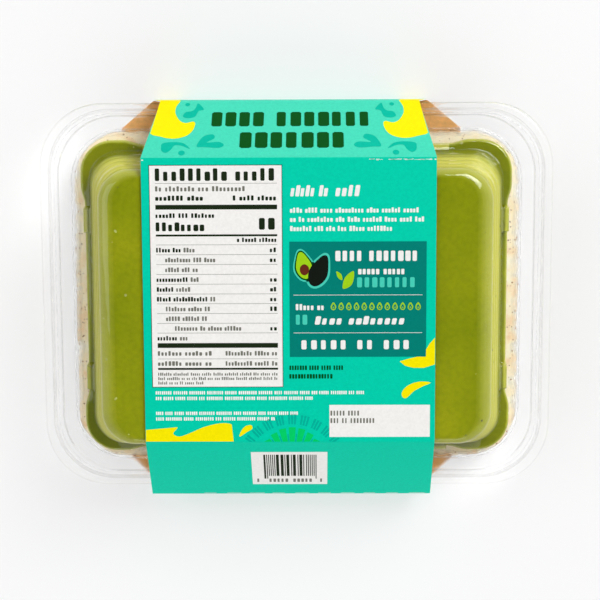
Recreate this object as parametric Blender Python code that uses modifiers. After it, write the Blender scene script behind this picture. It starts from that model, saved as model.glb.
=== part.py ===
"""Retail pack of guacamole, lying on its lid with the base of its tray up.

A thermoformed clear tray holds the dip, a clear push-fit lid closes the mouth, and a paperboard sleeve
runs round the middle. X is the pack's length, Y its width, and Z runs from the lid up to the tray's base.
The sizes below are centred on the tray's rim, and the sleeve's cover panel lies on Z = 0.

Tray, lid and dip are lofts through rounded rectangles. Every loft places its points round a rectangle by
the same rule, so the dip follows the tray's wall all the way round at a set depth.
"""

import math
from collections import namedtuple

import bmesh
import bpy
from mathutils import Vector

MM = 0.001  # all sizes below are in millimetres

# Walls, and the clearance that touching pieces keep
TRAY_WALL = 0.45
LID_WALL = 0.40
BOARD = 0.50
GAP = 0.30

# Heights above the surface that the pack lies on
BASE_TOP = 53.0  # outer face of the tray's base
EDGE_HEIGHT = 6.0  # how far the base's rounded edge reaches down the block
LEDGE_TOP = 17.0  # stacking ledge round the foot of the tray's block
SHELF_TOP = 12.0  # narrow seal shelf just outside the mouth
FLANGE_TOP = 10.5  # tray's flange
BEAD_TOP = 12.5  # stiffening bead at the flange's edge
DIP_LEVEL = 10.9  # the dip's free surface, a smear's thickness under the seal shelf
LID_FLANGE = 9.3  # lid's flange, under the tray's
LID_FACE = BOARD + GAP  # lid's raised panel, which the sleeve's cover panel backs
SKIRT_TOP = 13.2  # top of the lid's grip skirt

# The origin lies under the middle of the whole pack, and the sleeve reaches further out on -Y than on +Y
PACK_SHIFT_Y = 2.0

# Rounded rectangles: half length, half width, corner radius
BASE_FLAT = (82.5, 60.0, 11.0)
BLOCK_HEAD = (90.0, 63.8, 15.5)  # where the base's rounded edge meets the wall
BLOCK_FOOT = (97.0, 69.6, 14.0)
MOUTH = (101.6, 74.6, 15.0)
SHELF_EDGE = (106.6, 79.5, 24.0)
BEAD_INNER = (112.0, 84.9, 27.0)
BEAD_OUTER = (115.6, 87.4, 28.0)
LID_PANEL = (96.0, 69.0, 20.0)
LID_SHOULDER = (105.0, 78.0, 24.0)
SKIRT_FOOT = (116.6, 88.3, 28.5)
SKIRT_LIP = (121.1, 91.9, 30.0)

# Between its corners the mouth stands in by this much, on its short and its long sides
MOUTH_WAIST = (1.9, 2.0)
NO_WAIST = (0.0, 0.0)

# The block's wall climbs in low steps, each with a small tread
WALL_STEPS = 4
STEP_TREAD = 0.9
STEPS_START = 27.0

# Stacking lugs bridge the ledge: where they begin and end along the sides, and their height
LUG_ON_LENGTH = (60.0, 71.0)
LUG_ON_WIDTH = (32.0, 43.0)
LUG_FLANK = 1.0
LUG_HEIGHT = 7.0
ON_A_LUG = (False, True, True, False)
CORNER_POINTS = 7
EDGE_STEPS = 3  # points on the curve of the base's rounded edge

# Sleeve: (y, z, left x, right x) of its creases on the outer face, once round the pack
SLEEVE_TOP = BASE_TOP + GAP + BOARD
CREASE_HEIGHT = 15.0
SLEEVE_STRIP = (
    (-91.5, 0.0, -71.5, 65.5),
    (-96.8, CREASE_HEIGHT, -70.2, 64.2),
    (-61.6, SLEEVE_TOP, -69.2, 63.6),
    (69.2, SLEEVE_TOP, -69.2, 63.6),
    (92.8, CREASE_HEIGHT, -63.2, 57.6),
    (92.8, 0.0, -67.5, 62.0),
    (79.0, 0.0, -83.6, 78.5),
    (-79.0, 0.0, -83.6, 78.5),
)

# One height on a wall: its rounded rectangle, whether the outer face there looks outwards (1) or inwards
# (-1), how far it stands in between its corners, and how far its points on the lugs are lifted
Station = namedtuple("Station", "shape z faces waist lift", defaults=(1, NO_WAIST, 0.0))


def material(name, colour, roughness, transmission=0.0):
    """A Principled material."""
    made = bpy.data.materials.new(name)
    made.use_nodes = True
    shader = made.node_tree.nodes["Principled BSDF"]
    shader.inputs["Base Color"].default_value = (*colour, 1.0)
    shader.inputs["Roughness"].default_value = roughness
    shader.inputs["Metallic"].default_value = 0.0
    shader.inputs["Transmission Weight"].default_value = transmission
    return made


def inset(shape, amount):
    """The rounded rectangle that lies inside another by the same amount all round."""
    return tuple(size - amount for size in shape)


def between(first, second, share):
    """A rounded rectangle part of the way from one to another."""
    return tuple(a + (b - a) * share for a, b in zip(first, second))


def marks(lug, depth):
    """The four places along a side where a lug's flanks start and end, at a depth inside the lug."""
    inner, outer = lug[0] + depth, lug[1] - depth
    return (inner - LUG_FLANK, inner, outer, outer + LUG_FLANK)


def along_side(half, radius, half_across, place):
    """How far out a rounded rectangle's side lies at a place along it, its corner arc included."""
    past = place - (half_across - radius)
    if past <= 0.0:
        return half
    return half - radius + math.sqrt(radius**2 - past**2)


def along_ray(shape, start, angle):
    """Where a ray from a point inside leaves a rounded rectangle through its corner."""
    half_x, half_y, radius = shape
    step = Vector((math.cos(angle), math.sin(angle)))
    arc_centre = Vector((half_x - radius, half_y - radius))
    offset = start - arc_centre
    b = offset.dot(step)
    hit = start + step * (-b + math.sqrt(b * b - offset.length_squared + radius**2))
    if hit.y < arc_centre.y:
        hit = start + step * ((half_x - start.x) / step.x)
    elif hit.x < arc_centre.x:
        hit = start + step * ((half_y - start.y) / step.y)
    return hit


def quarter(shape, waist, depth):
    """Points (x, y, on a lug) of a rounded rectangle's first quarter, from its +X side to its +Y side."""
    half_x, half_y, radius = shape
    on_width, on_length = marks(LUG_ON_WIDTH, depth), marks(LUG_ON_LENGTH, depth)
    points = []
    for place, lug in zip(on_width, ON_A_LUG):
        side = along_side(half_x, radius, half_y, place)
        points.append((side - waist[0], place, lug))
    start = Vector((on_length[-1], on_width[-1]))
    for k in range(1, CORNER_POINTS + 1):
        hit = along_ray(shape, start, math.radians(90.0) * k / (CORNER_POINTS + 1))
        points.append((hit.x, hit.y, False))
    for place, lug in zip(reversed(on_length), ON_A_LUG):
        side = along_side(half_y, radius, half_x, place)
        points.append((place, side - waist[1], lug))
    return points


def ring(station, depth=0.0, drop=None):
    """A closed run of points round a station, at a depth behind its outer face and a drop below it."""
    first = quarter(inset(station.shape, depth * station.faces), station.waist, depth)
    quarters = (
        first,
        [(-x, y, lug) for x, y, lug in reversed(first)],
        [(-x, -y, lug) for x, y, lug in first],
        [(x, -y, lug) for x, y, lug in reversed(first)],
    )
    z = station.z - (depth if drop is None else drop)
    return [Vector((x, y, z + station.lift * lug)) for points in quarters for x, y, lug in points]


def place_mesh(name, bm, collection, finish):
    """Turns a bmesh into a named object of the pack, with its rounded faces shaded smooth."""
    mesh = bpy.data.meshes.new(name)
    bm.to_mesh(mesh)
    bm.free()
    mesh.materials.append(finish)
    mesh.shade_smooth()
    mesh.set_sharp_from_angle(angle=math.radians(35.0))
    made = bpy.data.objects.new(name, mesh)
    made.location.y = PACK_SHIFT_Y * MM
    collection.objects.link(made)
    return made


def loft(name, rings, collection, finish, cap_last=True, cap_looks_up=True):
    """A surface through rings of equal count, closed over the first ring and, if asked, the last."""
    bm = bmesh.new()
    loops = [[bm.verts.new(point * MM) for point in points] for points in rings]
    for low, high in zip(loops, loops[1:]):
        for i in range(len(low)):
            j = (i + 1) % len(low)
            bm.faces.new((low[i], low[j], high[j], high[i]))
    cap = bm.faces.new(loops[0])
    if cap_last:
        bm.faces.new(loops[-1])
    bmesh.ops.recalc_face_normals(bm, faces=bm.faces)
    if (cap.normal.z > 0.0) != cap_looks_up:
        bmesh.ops.reverse_faces(bm, faces=bm.faces)
    return place_mesh(name, bm, collection, finish)


def thicken(made, wall):
    """Gives an open surface its wall, inwards from its outer face."""
    shell = made.modifiers.new("Wall", "SOLIDIFY")
    shell.thickness = wall * MM
    shell.offset = -1.0
    shell.use_even_offset = True


def block_stations():
    """The tray's raised block: its flat base, the base's rounded edge and the stepped wall."""
    head = BASE_TOP - EDGE_HEIGHT
    stations = []
    for k in range(EDGE_STEPS + 1):
        turn = math.radians(90.0) * k / EDGE_STEPS
        outline = between(BASE_FLAT, BLOCK_HEAD, math.sin(turn))
        stations.append(Station(outline, head + EDGE_HEIGHT * math.cos(turn)))
    for k in range(1, WALL_STEPS + 1):
        z = head - (head - STEPS_START) * k / WALL_STEPS
        outer = between(BLOCK_HEAD, BLOCK_FOOT, k / (WALL_STEPS + 1))
        stations.append(Station(inset(outer, STEP_TREAD), z + 0.5))
        stations.append(Station(outer, z))
    return stations


def mouth_stations():
    """The block's foot, the ledge with its lugs, the mouth's wall and the seal shelf."""
    return [
        Station(BLOCK_FOOT, LEDGE_TOP + 0.6, lift=LUG_HEIGHT),
        Station(inset(MOUTH, 0.8), LEDGE_TOP, waist=MOUTH_WAIST, lift=LUG_HEIGHT),
        Station(MOUTH, LEDGE_TOP - 1.0, waist=MOUTH_WAIST, lift=LUG_HEIGHT),
        Station(MOUTH, SHELF_TOP, waist=MOUTH_WAIST),
        Station(SHELF_EDGE, SHELF_TOP),
    ]


def rim_stations():
    """The tray's flange and the stiffening bead at its edge."""
    return [
        Station(inset(SHELF_EDGE, -0.8), FLANGE_TOP),
        Station(BEAD_INNER, FLANGE_TOP, faces=-1),
        Station(inset(BEAD_INNER, -0.9), BEAD_TOP, faces=-1),
        Station(inset(BEAD_OUTER, 0.4), BEAD_TOP),
        Station(BEAD_OUTER, FLANGE_TOP),
    ]


def build_tray(collection):
    """The clear tray: its outer face from the base to the rim, then its inner face back to the base."""
    finish = material("clear tray plastic", (0.93, 0.94, 0.93), 0.08, 0.9)
    stations = block_stations() + mouth_stations() + rim_stations()
    rings = [ring(station) for station in stations]
    rings.append(ring(stations[-1], TRAY_WALL, drop=0.0))
    rings += [ring(station, TRAY_WALL) for station in reversed(stations[:-1])]
    return loft("tray", rings, collection, finish)


def build_dip(collection):
    """The guacamole, which fills the tray to its seal shelf and passes the wall's steps with a plain side."""
    finish = material("guacamole", (0.33, 0.40, 0.02), 0.55)
    depth = TRAY_WALL + GAP
    block = block_stations()
    rings = [ring(station, depth + STEP_TREAD) for station in (*block[: EDGE_STEPS + 1], block[-1])]
    rings += [ring(station, depth) for station in mouth_stations()]
    rings.append(ring(Station(SHELF_EDGE, DIP_LEVEL), depth, drop=0.0))
    return loft("guacamole", rings, collection, finish)


def build_lid(collection):
    """The clear push-fit lid: raised panel, shoulder, flange under the tray's, skirt and flared lip."""
    finish = material("clear lid plastic", (0.94, 0.95, 0.95), 0.08, 0.9)
    stations = [
        Station(LID_PANEL, LID_FACE),
        Station(inset(LID_PANEL, -0.9), LID_FACE + 0.4),
        Station(inset(LID_PANEL, -1.6), LID_FACE + 1.4),
        Station(inset(LID_PANEL, -3.4), LID_FACE + 6.2),
        Station(LID_SHOULDER, LID_FACE + 6.8),
        Station(inset(LID_SHOULDER, -1.2), LID_FLANGE),
        Station(inset(SKIRT_FOOT, 0.6), LID_FLANGE),
        Station(SKIRT_FOOT, LID_FLANGE + 0.8),
        Station(inset(SKIRT_FOOT, -0.9), SKIRT_TOP),
        Station(SKIRT_LIP, SKIRT_TOP + 0.4),
    ]
    rings = [ring(station) for station in stations]
    lid = loft("lid", rings, collection, finish, cap_last=False, cap_looks_up=False)
    thicken(lid, LID_WALL)
    return lid


def build_sleeve(collection):
    """The paperboard sleeve: one strip folded round the pack, with its panels' own widths."""
    finish = material("sleeve board", (0.0, 0.62, 0.39), 0.45)
    bm = bmesh.new()
    folds = []
    for y, z, left, right in SLEEVE_STRIP:
        folds.append([bm.verts.new(Vector((x, y, z)) * MM) for x in (right, left)])
    for i, (right, left) in enumerate(folds):
        next_right, next_left = folds[(i + 1) % len(folds)]
        bm.faces.new((left, right, next_right, next_left))
    sleeve = place_mesh("sleeve", bm, collection, finish)
    thicken(sleeve, BOARD)
    return sleeve


def clear_scene():
    for old in list(bpy.data.objects):
        bpy.data.objects.remove(old, do_unlink=True)


def main():
    clear_scene()
    collection = bpy.data.collections.new("guacamole pack")
    bpy.context.scene.collection.children.link(collection)
    for build in (build_tray, build_dip, build_lid, build_sleeve):
        build(collection)


main()
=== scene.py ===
# %% [markdown]
# # Guacamole in its clear retail pack
# The pack is a clear thermoformed tray full of dip, a clear lid pushed onto it, and a printed paperboard
# sleeve round the middle. It lies on its lid, with the base of the tray and the back of the sleeve up.
#
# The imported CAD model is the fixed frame. Its boxes give the sizes that every piece here is made to.

# %% Load the fixed frame
import math
import random
from collections import namedtuple

import bmesh
import bpy
import numpy as np
from mathutils import Matrix, Vector, noise


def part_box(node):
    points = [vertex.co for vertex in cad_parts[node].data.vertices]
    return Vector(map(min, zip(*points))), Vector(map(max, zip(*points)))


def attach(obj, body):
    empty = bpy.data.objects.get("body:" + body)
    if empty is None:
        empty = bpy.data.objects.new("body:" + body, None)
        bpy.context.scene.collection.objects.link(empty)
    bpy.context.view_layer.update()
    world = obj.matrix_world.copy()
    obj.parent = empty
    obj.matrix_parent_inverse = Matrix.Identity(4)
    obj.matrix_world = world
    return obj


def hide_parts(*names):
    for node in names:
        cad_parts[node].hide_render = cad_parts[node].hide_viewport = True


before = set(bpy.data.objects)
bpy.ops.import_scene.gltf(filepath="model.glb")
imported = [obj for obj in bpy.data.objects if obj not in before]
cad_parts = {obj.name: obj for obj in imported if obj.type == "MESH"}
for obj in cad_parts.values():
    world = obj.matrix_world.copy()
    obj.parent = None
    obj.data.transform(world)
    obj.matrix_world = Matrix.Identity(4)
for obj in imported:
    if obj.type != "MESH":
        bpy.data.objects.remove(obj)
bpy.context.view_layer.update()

# %% [markdown]
# ## Sizes
# A tray like this is drawn as a stack of rounded rectangles, each with a half length, a half width, a corner
# radius and a height. The rim is the outermost, so every other one is given as how far it lies inside the
# rim. The boxes of the CAD nodes give the rim and the heights, and all sizes are in millimetres.

# %% Driving sizes
MM = 0.001
tray_low, tray_high = (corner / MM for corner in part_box("tray"))
lid_low, lid_high = (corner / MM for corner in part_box("lid"))
sleeve_low, sleeve_high = (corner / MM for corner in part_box("sleeve"))

RIM = (tray_high.x, (tray_high.y - tray_low.y) / 2)
LIP = (lid_high.x, (lid_high.y - lid_low.y) / 2)
MIDDLE_Y = (tray_high.y + tray_low.y) / 2
BASE_TOP = tray_high.z
TRAY_WALL = 0.45
LID_WALL = 0.40
BOARD = 0.50

print(f"rim {RIM[0]:.1f} x {RIM[1]:.1f}, lip {LIP[0]:.1f} x {LIP[1]:.1f}")
print(f"middle {MIDDLE_Y:.1f}, base {BASE_TOP:.1f}")


def inside(outer, length, width, radius):
    """A rounded rectangle that lies inside an outer one by different amounts on its two axes."""
    return (outer[0] - length, outer[1] - width, radius)


def inset(shape, amount):
    """The rounded rectangle that lies inside another by the same amount all round."""
    return tuple(size - amount for size in shape)


def between(first, second, share):
    """A rounded rectangle part of the way from one to another."""
    return tuple(a + (b - a) * share for a, b in zip(first, second))


BEAD_OUTER = inside(RIM, 0.0, 0.0, 28.0)
BEAD_INNER = inside(RIM, 3.6, 2.5, 27.0)
SHELF_EDGE = inside(RIM, 9.0, 7.9, 24.0)
MOUTH = inside(RIM, 14.0, 12.8, 15.0)
BLOCK_FOOT = inside(RIM, 18.6, 17.8, 14.0)
BLOCK_HEAD = inside(RIM, 25.6, 23.6, 15.5)
BASE_FLAT = inside(RIM, 33.1, 27.4, 11.0)
SKIRT_LIP = inside(LIP, 0.0, 0.0, 30.0)
SKIRT_FOOT = inside(LIP, 4.5, 3.6, 28.5)
LID_SHOULDER = inside(LIP, 16.1, 13.9, 24.0)
LID_PANEL = inside(LIP, 25.1, 22.9, 20.0)

LEDGE_TOP = BASE_TOP - 36.0
SHELF_TOP = BASE_TOP - 41.0
FLANGE_TOP = BASE_TOP - 42.5
BEAD_TOP = BASE_TOP - 40.5
DIP_LEVEL = BASE_TOP - 42.1
LID_FACE = lid_low.z
LID_FLANGE = LID_FACE + 8.5
SKIRT_TOP = lid_high.z - 0.4

# %% [markdown]
# ## Lofts
# Tray, lid and dip all follow the same outline: straight sides that stand in a little between the corners,
# round corners, and on each side two lugs that keep stacked packs apart. The outline is made once as a rule
# that puts the same number of points on every height, and a surface is then stretched from ring to ring.
# A thermoformed sheet has no sharp bend, so each bend of the profile is swept with a short curve.

# %% The outline of one ring
LUG_ON_LENGTH = (60.0, 71.0)
LUG_ON_WIDTH = (32.0, 43.0)
LUG_FLANK = 1.0
LUG_HEIGHT = 7.0
CORNER_RAYS = 22
MOUTH_WAIST = (1.9, 2.0)
NO_WAIST = (0.0, 0.0)

Station = namedtuple("Station", "shape z faces waist lift reach", defaults=(1, NO_WAIST, 0.0, 0.8))


def smooth(share):
    """A soft step from 0 to 1."""
    share = min(max(share, 0.0), 1.0)
    return share * share * (3.0 - 2.0 * share)


def side_places(lug, depth):
    """Places along half a side, from its middle to just past its lug, each with its share of the lug."""
    start, end = lug[0] + depth, lug[1] - depth
    places = [(start * k / 6.0, 0.0) for k in (0.5, 1.5, 2.5, 3.5, 4.5, 5.4)]
    places += [(start - LUG_FLANK * (1.0 - k / 4.0), smooth(k / 4.0)) for k in range(5)]
    places += [((start + end) / 2.0, 1.0)]
    places += [(end + LUG_FLANK * k / 4.0, smooth(1.0 - k / 4.0)) for k in range(5)]
    return places


def along_side(half, radius, half_across, place):
    """How far out a rounded rectangle's side lies at a place along it, its corner arc included."""
    past = max(0.0, place - (half_across - radius))
    return half - radius + math.sqrt(radius**2 - past**2)


def along_ray(shape, start, angle):
    """Where a ray from a point inside leaves a rounded rectangle through its corner."""
    half_x, half_y, radius = shape
    step = Vector((math.cos(angle), math.sin(angle)))
    arc_centre = Vector((half_x - radius, half_y - radius))
    offset = start - arc_centre
    b = offset.dot(step)
    hit = start + step * (-b + math.sqrt(max(0.0, b * b - offset.length_squared + radius**2)))
    if hit.y < arc_centre.y:
        hit = start + step * ((half_x - start.x) / step.x)
    elif hit.x < arc_centre.x:
        hit = start + step * ((half_y - start.y) / step.y)
    return hit


def quarter(shape, waist, depth):
    """Points (x, y, share of a lug) of the first quarter of an outline, from its +X side to its +Y side."""
    half_x, half_y, radius = shape
    on_width, on_length = side_places(LUG_ON_WIDTH, depth), side_places(LUG_ON_LENGTH, depth)
    points = []
    for place, lug in on_width:
        points.append((along_side(half_x, radius, half_y, place) - waist[0], place, lug))
    start = Vector((on_length[-1][0], on_width[-1][0]))
    for k in range(1, CORNER_RAYS + 1):
        share = k / (CORNER_RAYS + 1)
        hit = along_ray(shape, start, math.radians(90.0) * share)
        x = hit.x - waist[0] * smooth(1.0 - 5.0 * share)
        y = hit.y - waist[1] * smooth(1.0 - 5.0 * (1.0 - share))
        points.append((x, y, 0.0))
    for place, lug in reversed(on_length):
        points.append((place, along_side(half_y, radius, half_x, place) - waist[1], lug))
    return points


def ring(station, depth=0.0, drop=None):
    """A closed run of points round a station, at a depth behind its outer face and a drop below it."""
    first = quarter(inset(station.shape, depth * station.faces), station.waist, depth)
    quarters = (
        first,
        [(-x, y, lug) for x, y, lug in reversed(first)],
        [(-x, -y, lug) for x, y, lug in first],
        [(x, -y, lug) for x, y, lug in reversed(first)],
    )
    z = station.z - (depth if drop is None else drop)
    return [Vector((x, y, z + station.lift * lug)) for points in quarters for x, y, lug in points]


print(len(ring(Station(MOUTH, SHELF_TOP))), "points round each ring")

# %% [markdown]
# ## Bends
# Warm sheet can't be pulled into a sharp bend. A Bevel modifier could round the bends, but it would round
# the lugs' flanks too. So the run of rings itself is swept: each bent ring is replaced by a few that follow
# a short curve. The same cell turns points into objects and says which node of the model each stands for.

# %% Soft bends and meshes
BEND_STEPS = 3


def soften(rings, reaches):
    """Sweeps every bend of a run of rings with a short curve. Returns the rings and their places."""
    soft, places = [rings[0]], [0.0]
    for i in range(1, len(rings) - 1):
        for step in range(BEND_STEPS + 1):
            t = step / BEND_STEPS
            bend = []
            for before, here, after in zip(rings[i - 1], rings[i], rings[i + 1]):
                back, ahead = before - here, after - here
                start = here + back * min(0.45, reaches[i] / max(back.length, 1e-6))
                end = here + ahead * min(0.45, reaches[i] / max(ahead.length, 1e-6))
                bend.append(start * (1 - t) ** 2 + here * (2 * t * (1 - t)) + end * t**2)
            soft.append(bend)
            places.append(i + (t - 0.5) * 0.8)
    return soft + [rings[-1]], places + [len(rings) - 1.0]


def finish_mesh(name, bm, materials, sharp_degrees=40.0, reverse=False):
    """Turns a bmesh in millimetres into an object in the frame's metres, shaded smooth but for its edges."""
    if reverse:
        bmesh.ops.reverse_faces(bm, faces=bm.faces)
    for vert in bm.verts:
        vert.co = (vert.co + Vector((0.0, MIDDLE_Y, 0.0))) * MM
    mesh = bpy.data.meshes.new(name)
    bm.to_mesh(mesh)
    bm.free()
    for material in materials:
        mesh.materials.append(material)
    mesh.shade_smooth()
    mesh.set_sharp_from_angle(angle=math.radians(sharp_degrees))
    piece = bpy.data.objects.new(name, mesh)
    bpy.context.scene.collection.objects.link(piece)
    return piece


def loft(rings, closed=True):
    """A bmesh through rings of equal count, closed over its first and last ring if asked."""
    bm = bmesh.new()
    loops = [[bm.verts.new(point) for point in points] for points in rings]
    for low, high in zip(loops, loops[1:]):
        for i in range(len(low)):
            j = (i + 1) % len(low)
            bm.faces.new((low[i], low[j], high[j], high[i]))
    if closed:
        bm.faces.new(loops[0])
        bm.faces.new(loops[-1])
        bmesh.ops.recalc_face_normals(bm, faces=bm.faces)
    return bm


def give(piece, node, replaces=True):
    """Rides a piece on the pack and hides the CAD node that it stands for, if it replaces it."""
    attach(piece, "root")
    if replaces:
        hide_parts(node)
    print(piece.name, len(piece.data.polygons), "faces")
    return piece


# %% [markdown]
# ## Clear plastic
# The tray and lid are clear PET, 0.4 to 0.45 mm thick. What makes it visible is its bends: they mirror the
# room and bend what lies behind into thin lines. Real walls with real refraction give that, so the shader is
# a Principled with full transmission. Light that reaches the dip through the wall would take thousands of
# samples to find its way, so shadow rays pass straight through. At the rim, where two sheets lie over each
# other, a share of the view passes straight through as well, which keeps the edge lines light.

# %% Clear plastic finishes
def node_tree(name):
    """A new material and its tree, with its shader and its output."""
    material = bpy.data.materials.new(name)
    material.use_nodes = True
    tree = material.node_tree
    return material, tree, tree.nodes["Principled BSDF"], tree.nodes["Material Output"]


def add(tree, kind, inputs=None, **settings):
    """A node with its settings and its inputs, each a value or the socket that feeds it."""
    node = tree.nodes.new(kind)
    for key, value in settings.items():
        setattr(node, key, value)
    for key, value in (inputs or {}).items():
        if isinstance(value, bpy.types.NodeSocket):
            tree.links.new(value, node.inputs[key])
        else:
            node.inputs[key].default_value = value
    return node


def texture(tree, scale, detail=2.0, roughness=0.5):
    """A soft noise that sits still on the piece, from 0 to 1."""
    place = add(tree, "ShaderNodeTexCoord").outputs["Object"]
    inputs = {"Vector": place, "Scale": scale, "Detail": detail, "Roughness": roughness}
    return add(tree, "ShaderNodeTexNoise", inputs).outputs["Fac"]


def relief(tree, shader, height, strength, depth):
    """Lets a texture raise the surface a little, by a depth in metres."""
    bump = add(tree, "ShaderNodeBump", {"Height": height, "Strength": strength, "Distance": depth})
    tree.links.new(bump.outputs["Normal"], shader.inputs["Normal"])


def larger(tree, first, second):
    """The larger of two values."""
    return add(tree, "ShaderNodeMath", {0: first, 1: second}, operation="MAXIMUM").outputs[0]


PLASTIC_IOR = 1.36
WALL_IOR = 1.42
RIM_SHARE = 0.72
SHEET_GLOSS = 0.03
SHEET_RIPPLE = 0.25


def clear_plastic(name, plain=0.0, ior=PLASTIC_IOR):
    """Clear sheet plastic with the faint ripple that forming leaves, which lets the lamps through.

    plain is the share of the view that passes as if there were no sheet, which softens its edge lines."""
    material, tree, shader, output = node_tree(name)
    shader.inputs["Base Color"].default_value = (1.0, 1.0, 1.0, 1.0)
    shader.inputs["Roughness"].default_value = SHEET_GLOSS
    shader.inputs["IOR"].default_value = ior
    shader.inputs["Transmission Weight"].default_value = 1.0
    relief(tree, shader, texture(tree, 70.0, 1.0), SHEET_RIPPLE, 0.0004)
    path = add(tree, "ShaderNodeLightPath")
    through = add(tree, "ShaderNodeBsdfTransparent", {"Color": (1.0, 1.0, 1.0, 1.0)})
    share = larger(tree, path.outputs["Is Shadow Ray"], plain)
    mix = add(tree, "ShaderNodeMixShader", {0: share, 1: shader.outputs[0], 2: through.outputs[0]})
    tree.links.new(mix.outputs[0], output.inputs["Surface"])
    return material


tray_plastic = clear_plastic("clear tray plastic", ior=WALL_IOR)
rim_plastic = clear_plastic("clear tray rim", RIM_SHARE)
lid_plastic = clear_plastic("clear lid plastic", RIM_SHARE)

# %% [markdown]
# ## The tray
# The mould gives the block low steps up its wall, a ledge round its foot that carries the lugs, a narrow
# seal shelf at the mouth, and a flange with a stiffening bead. The outer face runs from the base to the rim
# and the inner face back again, so the wall has its true thickness everywhere.

# %% Build the tray
WALL_STEPS = 4
STEP_TREAD = 0.9
STEPS_START = 27.0
EDGE_HEIGHT = 6.0
EDGE_STEPS = 6


def block_stations():
    """The block: the flat base, its rounded edge and the stepped wall."""
    head = BASE_TOP - EDGE_HEIGHT
    flats = [inside(BASE_FLAT, depth, depth, BASE_FLAT[2]) for depth in (6.0, 3.0, 0.8)]
    stations = [Station(flat, BASE_TOP, reach=0.5) for flat in flats]
    for k in range(EDGE_STEPS + 1):
        turn = math.radians(90.0) * k / EDGE_STEPS
        outline = between(BASE_FLAT, BLOCK_HEAD, math.sin(turn))
        stations.append(Station(outline, head + EDGE_HEIGHT * math.cos(turn), reach=0.6))
    for k in range(1, WALL_STEPS + 1):
        z = head - (head - STEPS_START) * k / WALL_STEPS
        outer = between(BLOCK_HEAD, BLOCK_FOOT, k / (WALL_STEPS + 1))
        stations.append(Station(inset(outer, STEP_TREAD), z + 0.5, reach=0.5))
        stations.append(Station(outer, z, reach=0.5))
    return stations


def mouth_stations():
    """The block's foot, the ledge with its lugs, and the mouth's wall down to the seal shelf."""
    return [
        Station(BLOCK_FOOT, LEDGE_TOP + 0.6, lift=LUG_HEIGHT, reach=0.8),
        Station(inset(MOUTH, 0.8), LEDGE_TOP, waist=MOUTH_WAIST, lift=LUG_HEIGHT, reach=0.5),
        Station(MOUTH, LEDGE_TOP - 1.0, waist=MOUTH_WAIST, lift=LUG_HEIGHT, reach=0.5),
        Station(MOUTH, SHELF_TOP, waist=MOUTH_WAIST, reach=0.4),
    ]


def rim_stations():
    """The seal shelf, the flange and the stiffening bead at its edge."""
    return [
        Station(SHELF_EDGE, SHELF_TOP, reach=0.5),
        Station(inset(SHELF_EDGE, -0.8), FLANGE_TOP, reach=0.5),
        Station(BEAD_INNER, FLANGE_TOP, faces=-1, reach=0.5),
        Station(inset(BEAD_INNER, -0.9), BEAD_TOP, faces=-1, reach=0.5),
        Station(inset(BEAD_OUTER, 0.4), BEAD_TOP, reach=0.4),
        Station(BEAD_OUTER, FLANGE_TOP),
    ]


tray_stations = block_stations() + mouth_stations() + rim_stations()
reaches = [station.reach for station in tray_stations]
outer_face, _ = soften([ring(station) for station in tray_stations], reaches)
inner_rings = [ring(station, TRAY_WALL) for station in tray_stations[:-1]]
inner_rings.append(ring(tray_stations[-1], TRAY_WALL, drop=0.0))
inner_face, _ = soften(inner_rings, reaches)
tray = finish_mesh("clear_tray", loft(outer_face + inner_face[::-1]), [tray_plastic, rim_plastic])
for face in tray.data.polygons:
    if face.center.z < (SHELF_TOP + 0.6) * MM:
        face.material_index = 1
give(tray, "tray")

# %% [markdown]
# ## The lid
# The lid shows only as its skirt, its flange under the tray's and, through them, its shoulder. It is one
# sheet, so its outer face is lofted and then given its wall with Solidify, which is applied at once.

# %% Build the lid
lid_stations = [
    Station(inset(LID_PANEL, 8.0), LID_FACE, reach=0.5),
    Station(LID_PANEL, LID_FACE, reach=0.6),
    Station(inset(LID_PANEL, -1.6), LID_FACE + 1.4, reach=0.6),
    Station(inset(LID_PANEL, -3.4), LID_FACE + 6.2, reach=0.6),
    Station(LID_SHOULDER, LID_FACE + 6.8, reach=0.6),
    Station(inset(LID_SHOULDER, -1.2), LID_FLANGE, reach=0.6),
    Station(inset(SKIRT_FOOT, 0.6), LID_FLANGE, reach=0.6),
    Station(SKIRT_FOOT, LID_FLANGE + 0.8, reach=0.4),
    Station(inset(SKIRT_FOOT, -0.9), SKIRT_TOP, reach=0.6),
    Station(SKIRT_LIP, SKIRT_TOP + 0.4),
]


def solidify(piece, wall):
    """Gives an open surface its wall, inwards from its outer face, and applies it."""
    shell = piece.modifiers.new("Wall", "SOLIDIFY")
    shell.thickness = wall * MM
    shell.offset = -1.0
    shell.use_even_offset = True
    depsgraph = bpy.context.evaluated_depsgraph_get()
    piece.data = bpy.data.meshes.new_from_object(piece.evaluated_get(depsgraph))
    piece.modifiers.clear()


lid_face, _ = soften([ring(station) for station in lid_stations], [s.reach for s in lid_stations])
lid_bm = loft(lid_face, closed=False)
lid_bm.faces.new([vert for vert in lid_bm.verts][: len(lid_face[0])])
bmesh.ops.recalc_face_normals(lid_bm, faces=lid_bm.faces)
lid_bm.faces.ensure_lookup_table()
panel_looks_up = lid_bm.faces[-1].normal.z > 0.0
lid = finish_mesh("clear_lid", lid_bm, [lid_plastic], reverse=panel_looks_up)
solidify(lid, LID_WALL)
give(lid, "lid")
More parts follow.
